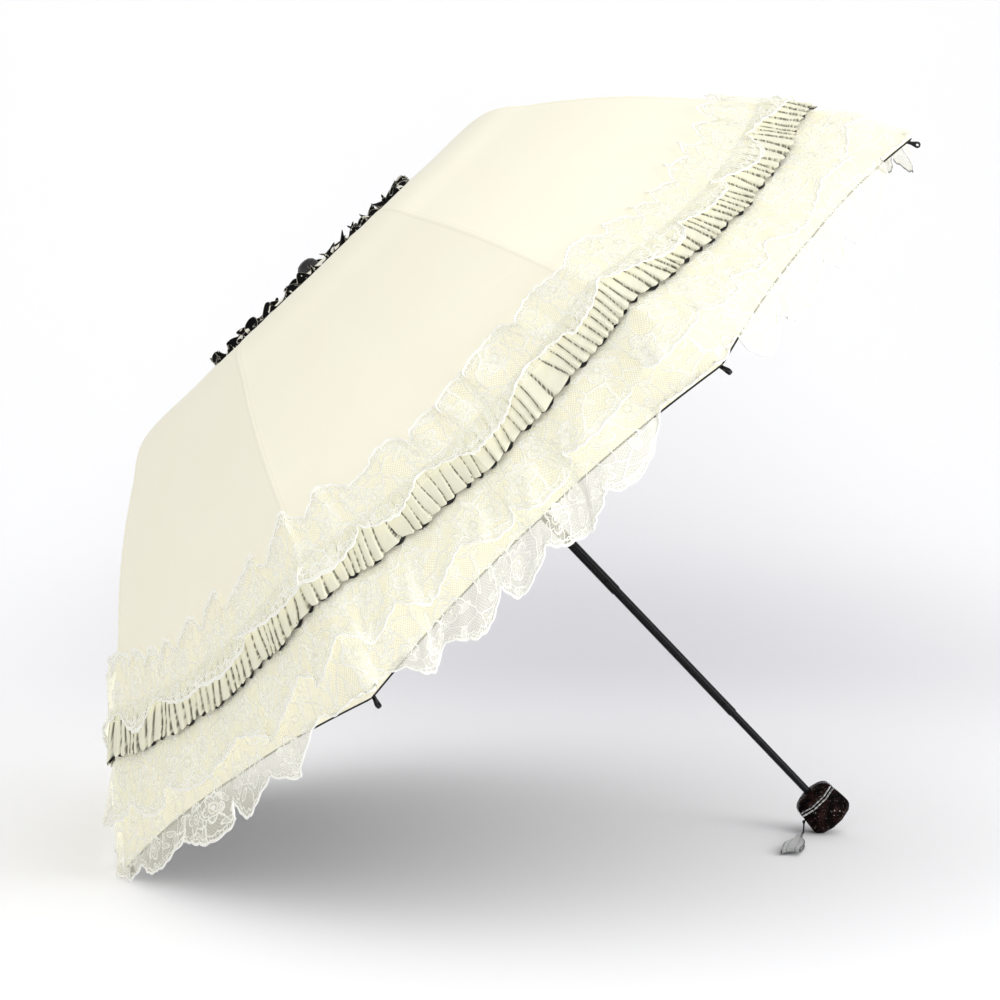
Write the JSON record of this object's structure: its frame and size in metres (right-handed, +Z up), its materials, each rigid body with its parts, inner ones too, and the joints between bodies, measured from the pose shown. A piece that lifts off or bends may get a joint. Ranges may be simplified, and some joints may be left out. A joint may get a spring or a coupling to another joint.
{
  "type": "lace parasol",
  "caption": "Open folding lace parasol: cream canopy with lace flounces and ruched band on jointed black ribs, telescoping shaft and dark faceted handle.",
  "frame": {"origin": "on the floor, under the middle of the bounding box of the resting open parasol", "axes": "+Z up; +Y runs across the canopy, its longest way; the crown points to -X and up, the handle rests on the floor at +X"},
  "size_m": [0.669, 0.8596, 0.6124],
  "materials": {
    "black_steel": "black satin lacquer on steel",
    "black_plastic": "black moulded nylon",
    "cream_fabric": "cream satin weave",
    "lace_fabric": "white floral lace",
    "bright_steel": "bright plated steel",
    "dark_resin": "polished dark marbled resin",
    "strap_cord": "black braided cord",
    "silver_ribbon": "silver grey satin ribbon"
  },
  "bodies": {
    "shaft_top": {"tube_1": "black_steel", "crown_notch": "black_plastic", "crown_cap": "black_plastic", "canopy": "cream_fabric", "crown_ruffle": "cream_fabric", "upper_lace": "lace_fabric", "ruched_ribbon": "cream_fabric", "lower_lace": "lace_fabric"},
    "runner": {"runner": "black_plastic"},
    "runner_button": {"runner_button": "bright_steel"},
    "tube_2": {"tube_2": "black_steel"},
    "tube_3": {"tube_3": "black_steel"},
    "tube_4": {"tube_4": "black_steel", "handle": "dark_resin", "handle_band": "bright_steel"},
    "detent_2": {"detent_2": "bright_steel"},
    "detent_3": {"detent_3": "bright_steel"},
    "detent_4": {"detent_4": "bright_steel"},
    "strap_cord": {"strap_cord": "strap_cord"},
    "strap_tag": {"strap_tag": "silver_ribbon"},
    "inner_rib_1": {"inner_rib_1": "black_steel"},
    "middle_rib_1": {"middle_rib_1": "black_steel"},
    "outer_rib_1": {"outer_rib_1": "black_steel"},
    "stretcher_1": {"stretcher_1": "black_steel"},
    "link_1": {"link_1": "black_steel"},
    "inner_rib_2": {"inner_rib_2": "black_steel"},
    "middle_rib_2": {"middle_rib_2": "black_steel"},
    "outer_rib_2": {"outer_rib_2": "black_steel"},
    "stretcher_2": {"stretcher_2": "black_steel"},
    "link_2": {"link_2": "black_steel"},
    "inner_rib_3": {"inner_rib_3": "black_steel"},
    "middle_rib_3": {"middle_rib_3": "black_steel"},
    "outer_rib_3": {"outer_rib_3": "black_steel"},
    "stretcher_3": {"stretcher_3": "black_steel"},
    "link_3": {"link_3": "black_steel"},
    "inner_rib_4": {"inner_rib_4": "black_steel"},
    "middle_rib_4": {"middle_rib_4": "black_steel"},
    "outer_rib_4": {"outer_rib_4": "black_steel"},
    "stretcher_4": {"stretcher_4": "black_steel"},
    "link_4": {"link_4": "black_steel"},
    "inner_rib_5": {"inner_rib_5": "black_steel"},
    "middle_rib_5": {"middle_rib_5": "black_steel"},
    "outer_rib_5": {"outer_rib_5": "black_steel"},
    "stretcher_5": {"stretcher_5": "black_steel"},
    "link_5": {"link_5": "black_steel"},
    "inner_rib_6": {"inner_rib_6": "black_steel"},
    "middle_rib_6": {"middle_rib_6": "black_steel"},
    "outer_rib_6": {"outer_rib_6": "black_steel"},
    "stretcher_6": {"stretcher_6": "black_steel"},
    "link_6": {"link_6": "black_steel"},
    "inner_rib_7": {"inner_rib_7": "black_steel"},
    "middle_rib_7": {"middle_rib_7": "black_steel"},
    "outer_rib_7": {"outer_rib_7": "black_steel"},
    "stretcher_7": {"stretcher_7": "black_steel"},
    "link_7": {"link_7": "black_steel"},
    "inner_rib_8": {"inner_rib_8": "black_steel"},
    "middle_rib_8": {"middle_rib_8": "black_steel"},
    "outer_rib_8": {"outer_rib_8": "black_steel"},
    "stretcher_8": {"stretcher_8": "black_steel"},
    "link_8": {"link_8": "black_steel"}
  },
  "joints": [
    {"name": "runner_slide", "type": "slide", "parent": "shaft_top", "child": "runner", "axis": [0.6891, 0, -0.7247], "range_m": [0, 0.14365], "deforming": ["canopy", "crown_ruffle", "upper_lace", "ruched_ribbon", "lower_lace"]},
    {"name": "runner_button_press", "type": "slide", "parent": "runner", "child": "runner_button", "axis": [0, 1, 0], "range_m": [0, 0.0012], "stiffness_N_per_m": 300, "springref_m": -0.001},
    {"name": "tube_2_slide", "type": "slide", "parent": "shaft_top", "child": "tube_2", "axis": [-0.6891, 0, 0.7247], "range_m": [0, 0.145]},
    {"name": "detent_2_press", "type": "slide", "parent": "tube_2", "child": "detent_2", "axis": [0, 1, 0], "range_m": [0, 0.0006], "stiffness_N_per_m": 300, "springref_m": -0.001},
    {"name": "tube_3_slide", "type": "slide", "parent": "tube_2", "child": "tube_3", "axis": [-0.6891, 0, 0.7247], "range_m": [0, 0.137]},
    {"name": "detent_3_press", "type": "slide", "parent": "tube_3", "child": "detent_3", "axis": [0, 1, 0], "range_m": [0, 0.0006], "stiffness_N_per_m": 300, "springref_m": -0.001},
    {"name": "tube_4_slide", "type": "slide", "parent": "tube_3", "child": "tube_4", "axis": [-0.6891, 0, 0.7247], "range_m": [0, 0.084]},
    {"name": "detent_4_press", "type": "slide", "parent": "tube_4", "child": "detent_4", "axis": [0, 1, 0], "range_m": [0, 0.0006], "stiffness_N_per_m": 300, "springref_m": -0.001},
    {"name": "crown_hinge_1", "type": "hinge", "parent": "shaft_top", "child": "inner_rib_1", "pos_m": [-0.16244, -0.00432, 0.45863], "axis": [0.2773, -0.9239, 0.2637], "range_deg": [0, 86.85]},
    {"name": "elbow_1_hinge_1", "type": "hinge", "parent": "inner_rib_1", "child": "middle_rib_1", "pos_m": [-0.28485, -0.07645, 0.33464], "axis": [0.2773, -0.9239, 0.2637], "range_deg": [-208.65, 0]},
    {"name": "elbow_2_hinge_1", "type": "hinge", "parent": "middle_rib_1", "child": "outer_rib_1", "pos_m": [-0.30336, -0.12544, 0.18249], "axis": [0.2773, -0.9239, 0.2637], "range_deg": [0, 165.88]},
    {"name": "stretcher_hinge_1", "type": "hinge", "parent": "runner", "child": "stretcher_1", "pos_m": [-0.13054, -0.00432, 0.42509], "axis": [0.2773, -0.9239, 0.2637], "range_deg": [-62.78, 0]},
    {"name": "link_hinge_1", "type": "hinge", "parent": "middle_rib_1", "child": "link_1", "pos_m": [-0.27844, -0.07263, 0.34129], "axis": [0.2773, -0.9239, 0.2637], "range_deg": [0, 208.38]},
    {"name": "crown_hinge_2", "type": "hinge", "parent": "shaft_top", "child": "inner_rib_2", "pos_m": [-0.15793, -0.01054, 0.46292], "axis": [0.6695, -0.3827, 0.6367], "range_deg": [0, 86.85]},
    {"name": "elbow_1_hinge_2", "type": "hinge", "parent": "inner_rib_2", "child": "middle_rib_2", "pos_m": [-0.20642, -0.18469, 0.40923], "axis": [0.6695, -0.3827, 0.6367], "range_deg": [-208.65, 0]},
    {"name": "elbow_2_hinge_2", "type": "hinge", "parent": "middle_rib_2", "child": "outer_rib_2", "pos_m": [-0.17472, -0.30295, 0.30482], "axis": [0.6695, -0.3827, 0.6367], "range_deg": [0, 160.88]},
    {"name": "stretcher_hinge_2", "type": "hinge", "parent": "runner", "child": "stretcher_2", "pos_m": [-0.12603, -0.01054, 0.42937], "axis": [0.6695, -0.3827, 0.6367], "range_deg": [-62.78, 0]},
    {"name": "link_hinge_2", "type": "hinge", "parent": "middle_rib_2", "child": "link_2", "pos_m": [-0.20392, -0.17546, 0.41215], "axis": [0.6695, -0.3827, 0.6367], "range_deg": [0, 208.38]},
    {"name": "crown_hinge_3", "type": "hinge", "parent": "shaft_top", "child": "inner_rib_3", "pos_m": [-0.15155, -0.01054, 0.46899], "axis": [0.6695, 0.3827, 0.6367], "range_deg": [0, 86.85]},
    {"name": "elbow_1_hinge_3", "type": "hinge", "parent": "inner_rib_3", "child": "middle_rib_3", "pos_m": [-0.09549, -0.18469, 0.51471], "axis": [0.6695, 0.3827, 0.6367], "range_deg": [-208.65, 0]},
    {"name": "elbow_2_hinge_3", "type": "hinge", "parent": "middle_rib_3", "child": "outer_rib_3", "pos_m": [0.00719, -0.30295, 0.47781], "axis": [0.6695, 0.3827, 0.6367], "range_deg": [0, 160.88]},
    {"name": "stretcher_hinge_3", "type": "hinge", "parent": "runner", "child": "stretcher_3", "pos_m": [-0.11965, -0.01054, 0.43544], "axis": [0.6695, 0.3827, 0.6367], "range_deg": [-62.78, 0]},
    {"name": "link_hinge_3", "type": "hinge", "parent": "middle_rib_3", "child": "link_3", "pos_m": [-0.09854, -0.17546, 0.51237], "axis": [0.6695, 0.3827, 0.6367], "range_deg": [0, 208.38]},
    {"name": "crown_hinge_4", "type": "hinge", "parent": "shaft_top", "child": "inner_rib_4", "pos_m": [-0.14704, -0.00432, 0.47328], "axis": [0.2773, 0.9239, 0.2637], "range_deg": [0, 86.85]},
    {"name": "elbow_1_hinge_4", "type": "hinge", "parent": "inner_rib_4", "child": "middle_rib_4", "pos_m": [-0.01705, -0.07645, 0.5893], "axis": [0.2773, 0.9239, 0.2637], "range_deg": [-208.65, 0]},
    {"name": "elbow_2_hinge_4", "type": "hinge", "parent": "middle_rib_4", "child": "outer_rib_4", "pos_m": [0.13583, -0.12544, 0.60014], "axis": [0.2773, 0.9239, 0.2637], "range_deg": [0, 160.88]},
    {"name": "stretcher_hinge_4", "type": "hinge", "parent": "runner", "child": "stretcher_4", "pos_m": [-0.11514, -0.00432, 0.43973], "axis": [0.2773, 0.9239, 0.2637], "range_deg": [-62.78, 0]},
    {"name": "link_hinge_4", "type": "hinge", "parent": "middle_rib_4", "child": "link_4", "pos_m": [-0.02402, -0.07263, 0.58323], "axis": [0.2773, 0.9239, 0.2637], "range_deg": [0, 208.38]},
    {"name": "crown_hinge_5", "type": "hinge", "parent": "shaft_top", "child": "inner_rib_5", "pos_m": [-0.14704, 0.00449, 0.47328], "axis": [-0.2773, 0.9239, -0.2637], "range_deg": [0, 86.85]},
    {"name": "elbow_1_hinge_5", "type": "hinge", "parent": "inner_rib_5", "child": "middle_rib_5", "pos_m": [-0.01705, 0.07662, 0.5893], "axis": [-0.2773, 0.9239, -0.2637], "range_deg": [-208.65, 0]},
    {"name": "elbow_2_hinge_5", "type": "hinge", "parent": "middle_rib_5", "child": "outer_rib_5", "pos_m": [0.13583, 0.12561, 0.60014], "axis": [-0.2773, 0.9239, -0.2637], "range_deg": [0, 160.88]},
    {"name": "stretcher_hinge_5", "type": "hinge", "parent": "runner", "child": "stretcher_5", "pos_m": [-0.11514, 0.00449, 0.43973], "axis": [-0.2773, 0.9239, -0.2637], "range_deg": [-62.78, 0]},
    {"name": "link_hinge_5", "type": "hinge", "parent": "middle_rib_5", "child": "link_5", "pos_m": [-0.02402, 0.0728, 0.58323], "axis": [-0.2773, 0.9239, -0.2637], "range_deg": [0, 208.38]},
    {"name": "crown_hinge_6", "type": "hinge", "parent": "shaft_top", "child": "inner_rib_6", "pos_m": [-0.15155, 0.01071, 0.46899], "axis": [-0.6695, 0.3827, -0.6367], "range_deg": [0, 86.85]},
    {"name": "elbow_1_hinge_6", "type": "hinge", "parent": "inner_rib_6", "child": "middle_rib_6", "pos_m": [-0.09549, 0.18486, 0.51471], "axis": [-0.6695, 0.3827, -0.6367], "range_deg": [-208.65, 0]},
    {"name": "elbow_2_hinge_6", "type": "hinge", "parent": "middle_rib_6", "child": "outer_rib_6", "pos_m": [0.00719, 0.30312, 0.47781], "axis": [-0.6695, 0.3827, -0.6367], "range_deg": [0, 160.88]},
    {"name": "stretcher_hinge_6", "type": "hinge", "parent": "runner", "child": "stretcher_6", "pos_m": [-0.11965, 0.01071, 0.43544], "axis": [-0.6695, 0.3827, -0.6367], "range_deg": [-62.78, 0]},
    {"name": "link_hinge_6", "type": "hinge", "parent": "middle_rib_6", "child": "link_6", "pos_m": [-0.09854, 0.17563, 0.51237], "axis": [-0.6695, 0.3827, -0.6367], "range_deg": [0, 208.38]},
    {"name": "crown_hinge_7", "type": "hinge", "parent": "shaft_top", "child": "inner_rib_7", "pos_m": [-0.15793, 0.01071, 0.46292], "axis": [-0.6695, -0.3827, -0.6367], "range_deg": [0, 86.85]},
    {"name": "elbow_1_hinge_7", "type": "hinge", "parent": "inner_rib_7", "child": "middle_rib_7", "pos_m": [-0.20642, 0.18486, 0.40923], "axis": [-0.6695, -0.3827, -0.6367], "range_deg": [-208.65, 0]},
    {"name": "elbow_2_hinge_7", "type": "hinge", "parent": "middle_rib_7", "child": "outer_rib_7", "pos_m": [-0.17472, 0.30312, 0.30482], "axis": [-0.6695, -0.3827, -0.6367], "range_deg": [0, 160.88]},
    {"name": "stretcher_hinge_7", "type": "hinge", "parent": "runner", "child": "stretcher_7", "pos_m": [-0.12603, 0.01071, 0.42937], "axis": [-0.6695, -0.3827, -0.6367], "range_deg": [-62.78, 0]},
    {"name": "link_hinge_7", "type": "hinge", "parent": "middle_rib_7", "child": "link_7", "pos_m": [-0.20392, 0.17563, 0.41215], "axis": [-0.6695, -0.3827, -0.6367], "range_deg": [0, 208.38]},
    {"name": "crown_hinge_8", "type": "hinge", "parent": "shaft_top", "child": "inner_rib_8", "pos_m": [-0.16244, 0.00449, 0.45863], "axis": [-0.2773, -0.9239, -0.2637], "range_deg": [0, 86.85]},
    {"name": "elbow_1_hinge_8", "type": "hinge", "parent": "inner_rib_8", "child": "middle_rib_8", "pos_m": [-0.28485, 0.07662, 0.33464], "axis": [-0.2773, -0.9239, -0.2637], "range_deg": [-208.65, 0]},
    {"name": "elbow_2_hinge_8", "type": "hinge", "parent": "middle_rib_8", "child": "outer_rib_8", "pos_m": [-0.30336, 0.12561, 0.18249], "axis": [-0.2773, -0.9239, -0.2637], "range_deg": [0, 165.88]},
    {"name": "stretcher_hinge_8", "type": "hinge", "parent": "runner", "child": "stretcher_8", "pos_m": [-0.13054, 0.00449, 0.42509], "axis": [-0.2773, -0.9239, -0.2637], "range_deg": [-62.78, 0]},
    {"name": "link_hinge_8", "type": "hinge", "parent": "middle_rib_8", "child": "link_8", "pos_m": [-0.27844, 0.0728, 0.34129], "axis": [-0.2773, -0.9239, -0.2637], "range_deg": [0, 208.38]},
    {"name": "strap_cord_swing", "type": "hinge", "parent": "tube_4", "child": "strap_cord", "pos_m": [0.25189, -0.00441, 0.00976], "axis": [-0.9703, 0.2419, 0], "range_deg": [0, 50]},
    {"name": "strap_tag_swing", "type": "hinge", "parent": "strap_cord", "child": "strap_tag", "pos_m": [0.24439, -0.03449, 0.00419], "axis": [-0.9703, 0.2419, 0], "range_deg": [0, 15]}
  ],
  "couplings": [
    {"joint": "crown_hinge_1", "follows": "runner_slide", "rad_per_m": 10.55},
    {"joint": "elbow_1_hinge_1", "follows": "runner_slide", "rad_per_m": -25.348},
    {"joint": "elbow_2_hinge_1", "follows": "runner_slide", "rad_per_m": 20.151},
    {"joint": "stretcher_hinge_1", "follows": "runner_slide", "rad_per_m": -7.625},
    {"joint": "link_hinge_1", "follows": "runner_slide", "rad_per_m": 25.315},
    {"joint": "crown_hinge_2", "follows": "runner_slide", "rad_per_m": 10.55},
    {"joint": "elbow_1_hinge_2", "follows": "runner_slide", "rad_per_m": -25.348},
    {"joint": "elbow_2_hinge_2", "follows": "runner_slide", "rad_per_m": 19.544},
    {"joint": "stretcher_hinge_2", "follows": "runner_slide", "rad_per_m": -7.625},
    {"joint": "link_hinge_2", "follows": "runner_slide", "rad_per_m": 25.315},
    {"joint": "crown_hinge_3", "follows": "runner_slide", "rad_per_m": 10.55},
    {"joint": "elbow_1_hinge_3", "follows": "runner_slide", "rad_per_m": -25.348},
    {"joint": "elbow_2_hinge_3", "follows": "runner_slide", "rad_per_m": 19.544},
    {"joint": "stretcher_hinge_3", "follows": "runner_slide", "rad_per_m": -7.625},
    {"joint": "link_hinge_3", "follows": "runner_slide", "rad_per_m": 25.315},
    {"joint": "crown_hinge_4", "follows": "runner_slide", "rad_per_m": 10.55},
    {"joint": "elbow_1_hinge_4", "follows": "runner_slide", "rad_per_m": -25.348},
    {"joint": "elbow_2_hinge_4", "follows": "runner_slide", "rad_per_m": 19.544},
    {"joint": "stretcher_hinge_4", "follows": "runner_slide", "rad_per_m": -7.625},
    {"joint": "link_hinge_4", "follows": "runner_slide", "rad_per_m": 25.315},
    {"joint": "crown_hinge_5", "follows": "runner_slide", "rad_per_m": 10.55},
    {"joint": "elbow_1_hinge_5", "follows": "runner_slide", "rad_per_m": -25.348},
    {"joint": "elbow_2_hinge_5", "follows": "runner_slide", "rad_per_m": 19.544},
    {"joint": "stretcher_hinge_5", "follows": "runner_slide", "rad_per_m": -7.625},
    {"joint": "link_hinge_5", "follows": "runner_slide", "rad_per_m": 25.315},
    {"joint": "crown_hinge_6", "follows": "runner_slide", "rad_per_m": 10.55},
    {"joint": "elbow_1_hinge_6", "follows": "runner_slide", "rad_per_m": -25.348},
    {"joint": "elbow_2_hinge_6", "follows": "runner_slide", "rad_per_m": 19.544},
    {"joint": "stretcher_hinge_6", "follows": "runner_slide", "rad_per_m": -7.625},
    {"joint": "link_hinge_6", "follows": "runner_slide", "rad_per_m": 25.315},
    {"joint": "crown_hinge_7", "follows": "runner_slide", "rad_per_m": 10.55},
    {"joint": "elbow_1_hinge_7", "follows": "runner_slide", "rad_per_m": -25.348},
    {"joint": "elbow_2_hinge_7", "follows": "runner_slide", "rad_per_m": 19.544},
    {"joint": "stretcher_hinge_7", "follows": "runner_slide", "rad_per_m": -7.625},
    {"joint": "link_hinge_7", "follows": "runner_slide", "rad_per_m": 25.315},
    {"joint": "crown_hinge_8", "follows": "runner_slide", "rad_per_m": 10.55},
    {"joint": "elbow_1_hinge_8", "follows": "runner_slide", "rad_per_m": -25.348},
    {"joint": "elbow_2_hinge_8", "follows": "runner_slide", "rad_per_m": 20.151},
    {"joint": "stretcher_hinge_8", "follows": "runner_slide", "rad_per_m": -7.625},
    {"joint": "link_hinge_8", "follows": "runner_slide", "rad_per_m": 25.315}
  ]
}
